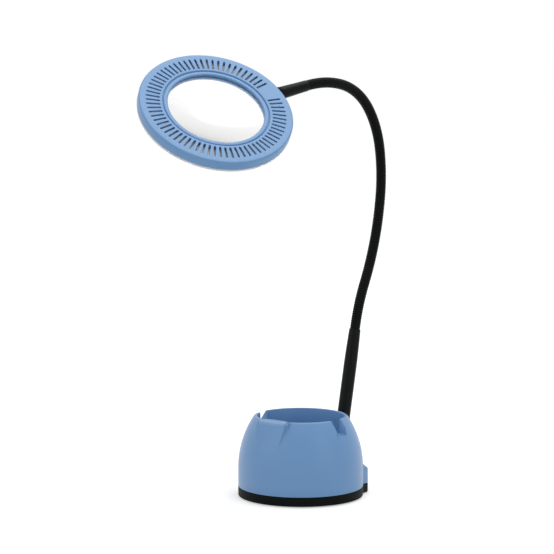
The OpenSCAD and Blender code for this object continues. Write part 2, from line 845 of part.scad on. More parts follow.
base_shell();
base_tray();
foot_pad();
ballast();
ballast_screws();
base_screws();
power_button();
switch_plunger();
switch_board();
tact_switch();
driver_board();
driver_parts();
dc_jack();
lower_sleeve();
neck_root();
neck_nut();
neck_link(0);  // neck_1
neck_link(1);  // neck_2
neck_link(2);  // neck_3
neck_link(3);  // neck_4
neck_link(4);  // neck_5
neck_link(5);  // neck_6
neck_link(6);  // neck_7
upper_sleeve();
swivel_clip();
neck_collar();
collar_nut();
head_cover();
lens();
lens_retainer();
led_board();
leds();
diffuser();
head_screws();
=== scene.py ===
# Ring magnifier lamp on a gooseneck, with a tool cup in its base. Sizes in the
# dictionaries are millimetres, as in the CAD.
import bpy
import math
from mathutils import Matrix, Vector


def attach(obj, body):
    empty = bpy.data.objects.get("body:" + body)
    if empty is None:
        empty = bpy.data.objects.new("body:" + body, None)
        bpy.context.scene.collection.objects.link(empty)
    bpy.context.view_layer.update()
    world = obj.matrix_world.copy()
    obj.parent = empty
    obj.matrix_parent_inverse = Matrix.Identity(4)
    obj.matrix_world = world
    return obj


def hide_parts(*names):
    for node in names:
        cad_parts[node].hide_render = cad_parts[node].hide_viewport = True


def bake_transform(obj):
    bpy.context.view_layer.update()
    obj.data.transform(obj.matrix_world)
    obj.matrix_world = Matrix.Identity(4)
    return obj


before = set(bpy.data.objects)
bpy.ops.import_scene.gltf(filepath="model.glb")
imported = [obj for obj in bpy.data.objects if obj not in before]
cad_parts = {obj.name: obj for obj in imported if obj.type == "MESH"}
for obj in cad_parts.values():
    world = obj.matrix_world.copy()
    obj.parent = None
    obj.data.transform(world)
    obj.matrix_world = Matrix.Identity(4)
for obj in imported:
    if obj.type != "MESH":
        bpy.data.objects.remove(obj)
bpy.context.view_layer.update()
scene = bpy.context.scene
mm = 0.001

# ---- camera, fitted to the photo ----

shot = {
    "place": (1226.82, -1713.61, 443.7), "azimuth": 35.6, "left": 0.01168, "down": 0.1019,
    "lens": 133.48, "sensor": 36, "clip": (0.05, 30),
}


def addCamera():
    heading = math.radians(shot["azimuth"]) + shot["left"]
    look = Vector((-math.sin(heading) * math.cos(shot["down"]),
                   math.cos(heading) * math.cos(shot["down"]), -math.sin(shot["down"])))
    turn = look.to_track_quat("-Z", "Y").to_euler()
    bpy.ops.object.camera_add(location=Vector(shot["place"]) * mm, rotation=turn)
    camera = bpy.context.object
    camera.name = "photoCamera"
    camera.data.lens = shot["lens"]
    camera.data.sensor_width = shot["sensor"]
    camera.data.clip_start, camera.data.clip_end = shot["clip"]
    scene.camera = camera


addCamera()
print("camera placed")

# ---- small tools ----


def deselectAll():
    if bpy.context.object and bpy.context.object.mode != "OBJECT":
        bpy.ops.object.mode_set(mode="OBJECT")
    bpy.ops.object.select_all(action="DESELECT")


def activate(piece):
    deselectAll()
    piece.select_set(True)
    bpy.context.view_layer.objects.active = piece


def editAll(piece):
    activate(piece)
    bpy.ops.object.mode_set(mode="EDIT")
    bpy.ops.mesh.select_mode(type="VERT")
    bpy.ops.mesh.select_all(action="SELECT")


def leaveEdit():
    bpy.ops.object.mode_set(mode="OBJECT")


def applyModifiers(piece):
    activate(piece)
    for name in [m.name for m in piece.modifiers]:
        bpy.ops.object.modifier_apply(modifier=name)


def settle(piece, matrix=None):
    # puts the piece's place into its mesh, and leaves the object at the origin
    if matrix is not None:
        piece.matrix_world = matrix @ piece.matrix_world
    activate(piece)
    bpy.ops.object.transform_apply(location=True, rotation=True, scale=True)
    return piece


def smooth(piece, angle):
    activate(piece)
    bpy.ops.object.shade_smooth_by_angle(angle=math.radians(angle))
    return piece


def selectEdges(piece, test):
    # edges whose two ends pass the test; leaves the piece in edit mode
    activate(piece)
    bpy.ops.object.mode_set(mode="EDIT")
    bpy.ops.mesh.select_mode(type="EDGE")
    bpy.ops.mesh.select_all(action="DESELECT")
    leaveEdit()
    for edge in piece.data.edges:
        edge.select = test(*(piece.data.vertices[i].co / mm for i in edge.vertices))
    bpy.ops.object.mode_set(mode="EDIT")


def selectFaces(piece, test):
    activate(piece)
    bpy.ops.object.mode_set(mode="EDIT")
    bpy.ops.mesh.select_mode(type="FACE")
    bpy.ops.mesh.select_all(action="DESELECT")
    leaveEdit()
    for face in piece.data.polygons:
        face.select = test(face.center / mm, face.normal)
    bpy.ops.object.mode_set(mode="EDIT")


def outline(name, points):
    # a line of edges through points, started from one corner of a plane and extruded on
    deselectAll()
    bpy.ops.mesh.primitive_plane_add(size=0.001)
    piece = bpy.context.object
    piece.name = name
    bpy.ops.object.mode_set(mode="EDIT")
    bpy.ops.mesh.select_mode(type="VERT")
    bpy.ops.mesh.select_all(action="SELECT")
    bpy.ops.mesh.merge(type="CENTER")
    last = Vector(points[0]) * mm
    bpy.ops.transform.translate(value=last)
    for point in points[1:]:
        step = Vector(point) * mm
        bpy.ops.mesh.extrude_region_move(TRANSFORM_OT_translate={"value": step - last})
        last = step
    leaveEdit()
    return piece


def turned(name, points, steps):
    # points are (radius, height); the outline is spun about Z and welded
    piece = outline(name, [(r, 0, z) for r, z in points])
    editAll(piece)
    bpy.ops.mesh.spin(steps=steps, angle=2 * math.pi, center=(0, 0, 0), axis=(0, 0, 1))
    bpy.ops.mesh.select_all(action="SELECT")
    bpy.ops.mesh.remove_doubles(threshold=1e-7)
    bpy.ops.mesh.normals_make_consistent(inside=False)
    leaveEdit()
    return piece


def lofted(name, rings):
    # closed rings of as many points each, bridged one to the next and closed at both ends
    pieces = [outline(name, ring + ring[:1]) for ring in rings]
    piece = joinAll(pieces, name)
    editAll(piece)
    bpy.ops.mesh.remove_doubles(threshold=1e-7)
    bpy.ops.mesh.bridge_edge_loops(type="SINGLE")
    bpy.ops.mesh.select_all(action="SELECT")
    bpy.ops.mesh.fill_holes(sides=0)
    bpy.ops.mesh.select_all(action="SELECT")
    bpy.ops.mesh.normals_make_consistent(inside=False)
    leaveEdit()
    return piece


def block(name, low, high, topScale=(1, 1)):
    # a box between two corners; topScale draws its top in or out
    deselectAll()
    size = Vector(high) - Vector(low)
    bpy.ops.mesh.primitive_cube_add(size=1, location=(Vector(high) + Vector(low)) / 2 * mm, scale=size * mm)
    piece = bpy.context.object
    piece.name = name
    settle(piece)
    if topScale != (1, 1):
        selectFaces(piece, lambda c, n: n.z > 0.9)
        bpy.ops.transform.resize(value=(topScale[0], topScale[1], 1))
        leaveEdit()
    return piece


def rod(name, radius, low, high, steps):
    # turned a hair, so that its edges don't fall on those of the piece it cuts
    deselectAll()
    bpy.ops.mesh.primitive_cone_add(vertices=steps, radius1=radius * mm, radius2=radius * mm,
                                    depth=(high - low) * mm, location=(0, 0, (high + low) / 2 * mm),
                                    rotation=(0, 0, 0.04))
    piece = bpy.context.object
    piece.name = name
    return settle(piece)


def bevelEdges(piece, test, width, segments):
    selectEdges(piece, test)
    bpy.ops.mesh.bevel(offset=width * mm, segments=segments, affect="EDGES", clamp_overlap=True)
    leaveEdit()
    return piece


def combine(piece, other, operation):
    modifier = piece.modifiers.new(operation.lower(), "BOOLEAN")
    modifier.operation = operation
    modifier.solver = "EXACT"
    modifier.object = other
    applyModifiers(piece)
    bpy.data.objects.remove(other)
    return piece


def cut(piece, other):
    return combine(piece, other, "DIFFERENCE")


def softEdges(piece, width, angle, segments):
    modifier = piece.modifiers.new("soft", "BEVEL")
    modifier.width = width * mm
    modifier.segments = segments
    modifier.limit_method = "ANGLE"
    modifier.angle_limit = math.radians(angle)
    modifier.use_clamp_overlap = False
    applyModifiers(piece)
    return piece


def copyOf(piece, name):
    activate(piece)
    bpy.ops.object.duplicate(linked=False)
    made = bpy.context.object
    made.name = name
    return made


def joinAll(pieces, name):
    deselectAll()
    for p in pieces:
        p.select_set(True)
    bpy.context.view_layer.objects.active = pieces[0]
    bpy.ops.object.join()
    pieces[0].name = name
    return pieces[0]


def finishPiece(piece, material, body, slotName, *nodes):
    piece.data.materials.clear()
    piece.data.materials.append(material)
    if nodes:
        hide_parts(*nodes)
    if body:
        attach(piece, body)
    return piece


def arcPoints(centre, radius, start, end, count):
    turns = [math.radians(start + (end - start) * i / count) for i in range(count + 1)]
    return [(centre[0] + radius * math.cos(a), centre[1] + radius * math.sin(a)) for a in turns]


# ---- materials ----


def newGroup(name, inputs, outputs):
    group = bpy.data.node_groups.new(name, "ShaderNodeTree")
    for kind, label, value in inputs:
        socket = group.interface.new_socket(label, in_out="INPUT", socket_type=kind)
        socket.default_value = value
    for kind, label in outputs:
        group.interface.new_socket(label, in_out="OUTPUT", socket_type=kind)
    return group, group.nodes.new("NodeGroupInput"), group.nodes.new("NodeGroupOutput")


def feed(tree, socket, value):
    # links an output to the socket, or sets a plain value on it
    if hasattr(value, "links"):
        tree.links.new(value, socket)
    else:
        socket.default_value = value


def objectPlace(tree):
    return tree.nodes.new("ShaderNodeTexCoord").outputs["Object"]


def noiseNode(tree, vector, scale, detail, roughness=0.55):
    noise = tree.nodes.new("ShaderNodeTexNoise")
    noise.inputs["Detail"].default_value = detail
    noise.inputs["Roughness"].default_value = roughness
    tree.links.new(vector, noise.inputs["Vector"])
    feed(tree, noise.inputs["Scale"], scale)
    return noise.outputs["Fac"]


def rangeNode(tree, value, low, high, start=0.0, end=1.0):
    node = tree.nodes.new("ShaderNodeMapRange")
    tree.links.new(value, node.inputs["Value"])
    for label, amount in (("From Min", start), ("From Max", end), ("To Min", low), ("To Max", high)):
        node.inputs[label].default_value = amount
    return node.outputs[0]


def mathNode(tree, operation, *values):
    node = tree.nodes.new("ShaderNodeMath")
    node.operation = operation
    for socket, value in zip(node.inputs, values):
        feed(tree, socket, value)
    return node.outputs[0]


def rampNode(tree, value, first, last, places=(0.0, 1.0)):
    ramp = tree.nodes.new("ShaderNodeValToRGB")
    for element, color, place in zip(ramp.color_ramp.elements, (first, last), places):
        element.position = place
        element.color = (*color, 1)
    tree.links.new(value, ramp.inputs["Fac"])
    return ramp.outputs["Color"]


def bumpNode(tree, height, strength, distance, shader):
    raised = tree.nodes.new("ShaderNodeBump")
    raised.inputs["Strength"].default_value = strength
    raised.inputs["Distance"].default_value = distance
    tree.links.new(height, raised.inputs["Height"])
    tree.links.new(raised.outputs["Normal"], shader.inputs["Normal"])


def mouldedGroup():
    # spark-eroded mould grain: fine bumps, faint colour drift, and a roughness that follows it
    group, given, result = newGroup("mouldedPlastic", [
        ("NodeSocketColor", "Color", (0.5, 0.5, 0.5, 1)), ("NodeSocketFloat", "Grain Scale", 1800.0),
        ("NodeSocketFloat", "Drift", 0.04), ("NodeSocketFloat", "Roughness", 0.5)],
        [("NodeSocketColor", "Color"), ("NodeSocketFloat", "Roughness"), ("NodeSocketFloat", "Height")])
    place = objectPlace(group)
    grain = noiseNode(group, place, given.outputs["Grain Scale"], 3, 0.6)
    broad = noiseNode(group, place, 22.0, 3, 0.5)
    centred = mathNode(group, "SUBTRACT", broad, 0.5)
    shade = mathNode(group, "MULTIPLY_ADD", centred, given.outputs["Drift"], 1.0)
    tinted = group.nodes.new("ShaderNodeVectorMath")
    tinted.operation = "SCALE"
    group.links.new(given.outputs["Color"], tinted.inputs[0])
    group.links.new(shade, tinted.inputs["Scale"])
    rough = mathNode(group, "MULTIPLY_ADD", centred, 0.12, given.outputs["Roughness"])
    group.links.new(tinted.outputs["Vector"], result.inputs["Color"])
    group.links.new(rough, result.inputs["Roughness"])
    group.links.new(grain, result.inputs["Height"])
    return group


def principled(name, color, roughness, **values):
    material = bpy.data.materials.new(name)
    material.use_nodes = True
    shader = material.node_tree.nodes["Principled BSDF"]
    shader.inputs["Base Color"].default_value = (*color, 1)
    shader.inputs["Roughness"].default_value = roughness
    for label, value in values.items():
        shader.inputs[label.replace("_", " ")].default_value = value
    material.diffuse_color = (*color, 1)
    return material, material.node_tree, shader


def moulded(name, group, color, roughness, grain, drift, bump, **values):
    material, tree, shader = principled(name, color, roughness, **values)
    surface = tree.nodes.new("ShaderNodeGroup")
    surface.node_tree = group
    surface.inputs["Color"].default_value = (*color, 1)
    surface.inputs["Grain Scale"].default_value = grain
    surface.inputs["Drift"].default_value = drift
    surface.inputs["Roughness"].default_value = roughness
    tree.links.new(surface.outputs["Color"], shader.inputs["Base Color"])
    tree.links.new(surface.outputs["Roughness"], shader.inputs["Roughness"])
    bumpNode(tree, surface.outputs["Height"], bump, 0.0004, shader)
    return material


def brushedSteel(name):
    material, tree, shader = principled(name, (0.56, 0.57, 0.6), 0.35, Metallic=1.0)
    stretch = tree.nodes.new("ShaderNodeMapping")
    stretch.inputs["Scale"].default_value = (1, 1, 14)
    tree.links.new(objectPlace(tree), stretch.inputs["Vector"])
    lines = noiseNode(tree, stretch.outputs["Vector"], 320.0, 3)
    tree.links.new(rangeNode(tree, lines, 0.26, 0.48), shader.inputs["Roughness"])
    tone = rampNode(tree, lines, (0.5, 0.51, 0.54), (0.64, 0.65, 0.67))
    tree.links.new(tone, shader.inputs["Base Color"])
    return material


def boardFinish(name, dark, light, scale):
    # solder mask over copper tracks: a stepped pattern, slightly raised
    material, tree, shader = principled(name, light, 0.38)
    cells = tree.nodes.new("ShaderNodeTexVoronoi")
    cells.distance = "MANHATTAN"
    cells.inputs["Scale"].default_value = scale
    tree.links.new(objectPlace(tree), cells.inputs["Vector"])
    tone = rampNode(tree, cells.outputs["Distance"], light, dark, (0.42, 0.5))
    tree.links.new(tone, shader.inputs["Base Color"])
    bumpNode(tree, cells.outputs["Distance"], 0.2, 0.0001, shader)
    return material


def glassFinish(name):
    # clear acrylic; a faint haze varies the polish
    material, tree, shader = principled(name, (0.87, 0.875, 0.865), 0.01, IOR=1.47)
    shader.inputs["Transmission Weight"].default_value = 1.0
    haze = noiseNode(tree, objectPlace(tree), 30.0, 2)
    tree.links.new(rangeNode(tree, haze, 0.003, 0.014), shader.inputs["Roughness"])
    return material


def frostedFinish(name):
    material, tree, shader = principled(name, (0.93, 0.945, 0.96), 0.42, IOR=1.45)
    shader.inputs["Transmission Weight"].default_value = 0.35
    shader.inputs["Subsurface Weight"].default_value = 0.3
    shader.inputs["Subsurface Radius"].default_value = (0.004, 0.004, 0.004)
    grain = noiseNode(tree, objectPlace(tree), 1400.0, 3)
    tree.links.new(rangeNode(tree, grain, 0.36, 0.5), shader.inputs["Roughness"])
    bumpNode(tree, grain, 0.1, 0.0003, shader)
    return material


def ledFinish(name):
    material, tree, shader = principled(name, (0.9, 0.78, 0.25), 0.35)
    speckle = noiseNode(tree, objectPlace(tree), 900.0, 2)
    tone = rampNode(tree, speckle, (0.92, 0.74, 0.16), (0.95, 0.88, 0.5))
    tree.links.new(tone, shader.inputs["Base Color"])
    return material


mouldGrain = mouldedGroup()
bluePlastic = moulded("bluePlastic", mouldGrain, (0.143, 0.308, 0.57), 0.35,
                      grain=2200.0, drift=0.05, bump=0.1)
# the button is the shell's blue plastic, painted paler: a painted sheen for the light that falls on its
# crown
blueButtonPaintedSheen = moulded("blueButtonPaintedSheen", mouldGrain, (0.21, 0.37, 0.62), 0.33,
                     grain=2200.0, drift=0.04, bump=0.05)
blackPlastic = moulded("blackPlastic", mouldGrain, (0.0042, 0.005, 0.0047), 0.55,
                       grain=1900.0, drift=0.2, bump=0.1, Specular_IOR_Level=0.06)
blackSleeve = moulded("blackSleeve", mouldGrain, (0.0028, 0.0036, 0.0034), 0.32,
                      grain=900.0, drift=0.25, bump=0.04, Specular_IOR_Level=0.1)
blackNeck = moulded("blackNeck", mouldGrain, (0.0025, 0.0032, 0.003), 0.4,
                    grain=1400.0, drift=0.25, bump=0.05, Specular_IOR_Level=0.07)
foamPad = moulded("foamPad", mouldGrain, (0.016, 0.016, 0.016), 0.9, grain=700.0, drift=0.3, bump=0.6)
partsBody = moulded("partsBody", mouldGrain, (0.02, 0.02, 0.024), 0.45, grain=2600.0, drift=0.2, bump=0.05)
steelPlate = brushedSteel("steelPlate")
greenBoard = boardFinish("greenBoard", (0.008, 0.06, 0.02), (0.015, 0.13, 0.045), 260.0)
whiteBoard = boardFinish("whiteBoard", (0.66, 0.64, 0.62), (0.8, 0.79, 0.77), 150.0)
lensGlass = glassFinish("lensGlass")
frosted = frostedFinish("frosted")
ledGlow = ledFinish("ledPhosphor")

cadFinishes = {
    "foot_pad": foamPad, "ballast": steelPlate, "ballast_screws": steelPlate, "base_screws": steelPlate,
    "switch_plunger": blackPlastic, "switch_board": greenBoard, "tact_switch": partsBody,
    "driver_board": greenBoard, "driver_parts": partsBody, "neck_root": blackNeck,
    "neck_nut": steelPlate, "swivel_clip": steelPlate, "collar_nut": steelPlate, "led_board": whiteBoard,
    "leds": ledGlow, "head_screws": steelPlate,
}
for nodeName, finish in cadFinishes.items():
    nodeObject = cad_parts[nodeName]
    nodeObject.data.materials.clear()
    nodeObject.data.materials.append(finish)
print("materials made")

# ---- base ----

base = {
    "radius": 65, "bottom": 10.5, "curveZ": 30, "rimZ": 84, "rimRadius": 48.3, "rimWidth": 3, "wall": 2.5,
    "cupRadius": 43.5, "cupFloor": 28, "cupCorner": 3, "rimRound": 2, "lipRound": 0.7, "soft": 0.45,
    "notchTurn": 4.2, "notchTop": 15.5, "notchFloor": 13.5, "notchDepth": 15.5,
    "turnSteps": 192,
}
domeRise = base["rimZ"] - base["curveZ"]
domeInset = base["radius"] - base["rimRadius"]
domeArc = (domeRise ** 2 + domeInset ** 2) / (2 * domeInset)


def domePoints(inset, top=None):
    # the arc from where the wall starts to lean, up to the rim or to where it is rounded off
    radius = domeArc - inset
    centre = (base["radius"] - domeArc, base["curveZ"])
    top = math.degrees(math.asin(domeRise / radius)) if top is None else top
    return arcPoints(centre, radius, 0, top, 26)


def cupRadiusAt(z, grow):
    low, high = base["cupFloor"] + base["cupCorner"], base["rimZ"]
    share = max(0.0, (z - low) / (high - low))
    return base["cupRadius"] + grow + (base["rimRadius"] - base["rimWidth"] - base["cupRadius"]) * share


def makeDomeSolid():
    soft, lipSoft = base["rimRound"], base["lipRound"]
    rise, arc = domeRise - soft, domeArc - soft
    lean = math.degrees(math.asin(rise / arc))
    centreX = base["radius"] - domeArc + math.sqrt(arc ** 2 - rise ** 2)
    cupTop = base["rimRadius"] - base["rimWidth"]
    corner, floor = base["cupCorner"], base["cupFloor"]
    points = [(0, base["bottom"] - 2.5), (base["radius"], base["bottom"] - 2.5), (base["radius"], 20)]
    points += domePoints(0, lean)
    points += arcPoints((centreX, base["rimZ"] - soft), soft, lean, 90, 6)[1:]
    points += arcPoints((cupTop + lipSoft, base["rimZ"] - lipSoft), lipSoft, 90, 180, 4)
    points += [(cupRadiusAt(z, 0), z) for z in (70, 58, 46, 36)]
    points += arcPoints((base["cupRadius"] - corner, floor + corner), corner, 0, -90, 6)
    points += [(25, floor), (0, floor)]
    return turned("baseShell", points, base["turnSteps"])


def makeDomeHollow():
    wall = base["wall"]
    points = [(0, base["bottom"] - 4), (base["radius"] - wall, base["bottom"] - 4)]
    inner = [p for p in domePoints(wall) if p[0] > cupRadiusAt(p[1], wall) + 0.05]
    points += inner
    points += [(cupRadiusAt(z, wall), z) for z in (inner[-1][1], 60, 45, base["cupFloor"] + 2)]
    points += [(base["cupRadius"] - 2, base["cupFloor"] - wall), (0, base["cupFloor"] - wall)]
    return turned("domeHollow", points, base["turnSteps"])


def notchBlock(side, grow, soft):
    depth, floor = base["notchDepth"] + 1, base["notchFloor"] + 2 * grow
    top = base["notchTop"] + (base["notchTop"] - base["notchFloor"]) / base["notchDepth"] + 2 * grow
    low = base["rimZ"] - base["notchDepth"] - grow
    cutter = block("notchCut", (base["cupRadius"] - 1, -floor / 2, low),
                   (base["radius"], floor / 2, low + depth + grow), (1, top / floor))
    if soft:
        bevelEdges(cutter, lambda a, b: max(a.z, b.z) < low + 0.1 and abs(a.x - b.x) > 1, soft, 3)
    settle(cutter, Matrix.Rotation(math.radians(-base["notchTurn"]), 4, "Z"))
    if side < 0:
        activate(cutter)
        bpy.ops.transform.mirror(constraint_axis=(True, False, False))
        settle(cutter)
        editAll(cutter)
        bpy.ops.mesh.normals_make_consistent(inside=False)
        leaveEdit()
    return cutter


boss = {
    "reach": 55.1, "faceRadius": 80, "half": 18.4, "top": 82, "low": 58, "high": 90, "wall": 1.4,
    "sideSlope": 0.17, "faceSlope": 0.218, "innerRadius": 46, "pocketRadius": 48.2, "soft": 1.4,
    "crownTop": 85.8, "bow": 100, "roll": 2.5, "rollHeight": 80.3, "crownSlope": 26.5,
}


def bossHalf(z):
    return boss["half"] - boss["sideSlope"] * (boss["top"] - z)


def bossRadius(z):
    return boss["faceRadius"] + boss["faceSlope"] * (boss["top"] - z)


def bossRing(z, inset, corner):
    # the housing's plan at one height: back edge, side, rounded corner, curved face and back again
    half, radius = bossHalf(z) - inset, bossRadius(z) - inset
    centreY = boss["faceRadius"] - boss["reach"]
    corner = max(corner - inset, 0.05)
    cornerY = centreY - math.sqrt((radius - corner) ** 2 - (half - corner) ** 2)
    turn = math.degrees(math.atan2(cornerY - centreY, half - corner))
    side = [(half, -38)] + arcPoints((half - corner, cornerY), corner, 0, turn, 6)
    face = arcPoints((0, centreY), radius, turn, -180 - turn, 24)[1:-1]
    return [(x, y, z) for x, y in side + face + [(-x, y) for x, y in reversed(side)]]


def bossBlock(name, inset, innerRadius, low, high, corner=0):
    solid = lofted(name, [bossRing(low, inset, corner), bossRing(high, inset, corner)])
    return cut(solid, rod("bossInner", innerRadius, low - 1, high + 1, 192))


def underCrown(raised):
    # all that lies under the crown, which bows across the housing and rolls over into its curved face
    bow, top = boss["bow"] + raised, boss["crownTop"] + raised
    across = [(-30, 40)] + arcPoints((0, top - bow), bow, 107, 73, 24) + [(30, 40)]
    solid = lofted("underCrown", [[(x, y, z) for x, z in across] for y in (-75, -15)])
    # the roll is turned about the face's own axis, and starts where it touches the face
    lean, fall = math.degrees(math.atan(boss["faceSlope"])), math.radians(boss["crownSlope"])
    touch = math.radians(lean)
    centre = (bossRadius(boss["rollHeight"]) - boss["roll"] * math.cos(touch),
              boss["rollHeight"] - boss["roll"] * math.sin(touch))
    rolled = arcPoints(centre, boss["roll"] + raised, lean, 90 - boss["crownSlope"], 12)
    last = rolled[-1]
    high = last[1] + (last[0] - 40) * math.tan(fall)
    roll = turned("crownRoll", [(0, 45), (92, 45), (92, 66)] + rolled + [(40, high), (0, high)], 360)
    settle(roll, Matrix.Translation((0, (boss["faceRadius"] - boss["reach"]) * mm, 0)))
    return combine(solid, roll, "INTERSECT")


housing = {
    "reach": 77, "face": 61.5, "half": 50.5, "top": 32, "slope": 0.86, "soft": 1.8, "innerSoft": 0.4,
    "topDrop": 1.3, "slices": 20,
}


def housingSlices(inset, inner, soft):
    # places across x with where the face and the dome's wall lie there, drawn in at both corners
    half, radius = housing["half"] - inset, housing["face"] - inset
    turns = [math.radians(a) for a in (90, 67, 45, 22, 0)]
    corner = [(half - soft + soft * math.sin(a), soft * (1 - math.cos(a))) for a in turns]
    steps = housing["slices"]
    middle = [((half - soft) * (2 * i / steps - 1), 0) for i in range(1, steps)]
    for x, drawn in [(-x, drawn) for x, drawn in corner] + middle + corner[::-1]:
        face = housing["reach"] - housing["face"] + math.sqrt(radius ** 2 - x ** 2) - drawn
        yield x, math.sqrt(inner ** 2 - x ** 2), face, drawn


def makeHousing(inset):
    # slices from the dome's wall out to the face, with a rounded shoulder under a top that falls outwards
    low = base["bottom"] - (5 if inset else 1.5)
    inner = base["radius"] - (3 * base["wall"] if inset else 1)
    soft = housing["innerSoft"] if inset else housing["soft"]
    lean = math.atan(housing["slope"])
    top = housing["top"] - housing["topDrop"] * inset
    rings = []
    for x, back, face, drawn in housingSlices(inset, inner, soft):
        def topAt(y):
            return top - drawn - housing["slope"] * (math.hypot(x, y) - base["radius"])
        shoulder = face - soft + soft * math.sin(lean)
        centre = (face - soft, topAt(shoulder) - soft * math.cos(lean))
        section = [(back, low), (face, low)]
        section += arcPoints(centre, soft, 0, 90 - math.degrees(lean), 4)
        section += [(y, topAt(y)) for y in
                    (shoulder * 0.6 + back * 0.4, shoulder * 0.25 + back * 0.75, back)]
        rings.append([(x, y, z) for y, z in section])
    return lofted("housing", rings)


def makeStep(name, inset, inner, low, high):
    # the housing's plan, straight up
    soft = housing["innerSoft"] if inset else housing["soft"]
    rings = [[(x, back, low), (x, face, low), (x, face, high), (x, back, high)]
             for x, back, face, drawn in housingSlices(inset, inner, soft)]
    return lofted(name, rings)


def makeBaseShell():
    shell = makeDomeSolid()
    raised = bossBlock("bossOuter", 0, boss["innerRadius"], boss["low"], boss["high"], boss["soft"])
    combine(shell, combine(raised, underCrown(0), "INTERSECT"), "UNION")
    combine(shell, makeHousing(0), "UNION")
    hollow = makeDomeHollow()
    for side in (1, -1):
        cut(hollow, notchBlock(side, base["wall"], 0))
    cut(shell, hollow)
    pocket = bossBlock("bossPocket", boss["wall"], boss["pocketRadius"], boss["low"], boss["high"] + 1)
    cut(shell, pocket)
    cut(shell, makeHousing(base["wall"]))
    combine(shell, makeSocket(), "UNION")
    for side in (1, -1):
        cut(shell, notchBlock(side, 0, 1.2))
    for radius, low in ((neck["sleeveFoot"] + 0.1, neck["shelfTop"]), (neck["bore"], 1)):
        cut(shell, settle(rod("socketBore", radius, low, 42, 48), along(footFrame)))
    inlet = rod("inletCut", jack["nose"] + 0.2, 0, 12, 40)
    cut(shell, settle(inlet, jackPlace(66)))
    cut(shell, block("underCut", (-90, -90, -5), (90, 95, base["bottom"])))
    softEdges(shell, base["soft"], 38, 2)
    smooth(shell, 42)
    return shell


jack = {
    "x": 27, "z": 17.2, "size": 8, "length": 10, "front": 65.2, "noseLength": 5.1, "nose": 3.4,
    "bore": 2.8, "boreDepth": 8, "pin": 0.8,
}


def jackPlace(y):
    # turns z to point backwards out of the housing, from y on
    place = Vector((jack["x"], y, jack["z"])) * mm
    return Matrix.Translation(place) @ Matrix.Rotation(-math.pi / 2, 4, "X")


def makeJack():
    # the power inlet: a block on the inside, a round nose in the wall and a pin in its bore
    half, x, z, front = jack["size"] / 2, jack["x"], jack["z"], jack["front"]
    body = block("dcJack", (x - half, front - jack["length"], z - half), (x + half, front, z + half))
    nose, bore, pin, end = jack["nose"], jack["bore"], jack["pin"], jack["noseLength"]
    floor = end - jack["boreDepth"]
    points = [(0, -4), (nose, -4), (nose, end - 0.4), (nose - 0.4, end), (bore + 0.3, end)]
    points += [(bore, end - 0.3), (bore, floor), (pin, floor)]
    points += [(pin, end - 1.6), (pin - 0.3, end - 1.2), (0, end - 1.1)]
    barrel = settle(turned("jackNose", points, 48), jackPlace(front))
    cut(body, settle(rod("jackWell", bore + 0.3, -3.5, 1, 48), jackPlace(front)))
    combine(body, barrel, "UNION")
    softEdges(body, 0.25, 50, 2)
    return smooth(body, 42)


# ---- neck path: each stretch is an arc that takes over from the one before ----

neck = {
    "footY": 66.5, "footZ": 19.5, "lean": 13, "shelfTop": 5, "bore": 5.15,
    "sleeveLength": 150, "sleeveFoot": 6.8, "sleeveGrip": 7.05, "gripTop": 108, "sleeveTop": 6.15,
    "stretch": 50, "crest": 5.5, "valley": 4.95, "pitch": 2.5, "upperLength": 38,
    "bends": [(-15.5, 0), (7.5, -2), (12, 0.5), (20, 1), (30.5, -1.5), (35.5, -8), (24, -13.5)],
    "turnSteps": 40,
}


def straight(f, s):
    return (f[0] + f[1] * s, f[1], f[2])


def arcFrame(f, bend, s):
    axis = f[2] * bend[0] + f[1].cross(f[2]) * bend[1]
    turn = axis.length
    axis = axis / turn
    centre = f[0] + axis.cross(f[1]) * (neck["stretch"] / math.radians(turn))
    spin = Matrix.Rotation(math.radians(turn) * s / neck["stretch"], 3, axis)
    return (centre + spin @ (f[0] - centre), spin @ f[1], spin @ f[2])


def neckFrame(s):
    # the frame at a distance s along the neck from its foot
    f = straight(footFrame, min(s, neck["sleeveLength"]))
    s -= neck["sleeveLength"]
    for bend in neck["bends"]:
        if s <= 0:
            return f
        f = arcFrame(f, bend, min(s, neck["stretch"]))
        s -= neck["stretch"]
    return straight(f, s) if s > 0 else f


def along(f):
    # lays z along the frame's direction and x along its side
    across = f[1].cross(f[2])
    matrix = Matrix((f[2], across, f[1])).transposed().to_4x4()
    matrix.translation = f[0] * mm
    return matrix


leanTurn = math.radians(neck["lean"])
footFrame = (Vector((0, neck["footY"], neck["footZ"])), Vector((0, math.sin(leanTurn), math.cos(leanTurn))),
             Vector((1, 0, 0)))
neckEnd = neck["sleeveLength"] + neck["stretch"] * len(neck["bends"])


def makeSocket():
    points = [(0, 2), (9, 2), (9, 35)] + arcPoints((6.2, 35), 2.8, 0, 90, 6)[1:] + [(0, 37.8)]
    return settle(turned("socket", points, 64), along(footFrame))


finishPiece(makeBaseShell(), bluePlastic, "root", "blue_plastic", "base_shell")
print("base shell made")


tray = {
    "low": 1, "high": 10.5, "wall": 2.5, "floorTop": 3.5, "padRadius": 52.25, "padTop": 1.5,
    "screwRing": 58.2, "screwTurns": (30, 150, 210, 330), "screwBores": ((1.75, 5), (3.05, 2.8)),
    "ballastRing": 30, "ballastTurns": (30, 150, 270), "ballastBore": (2.25, 5), "soft": 0.5,
}


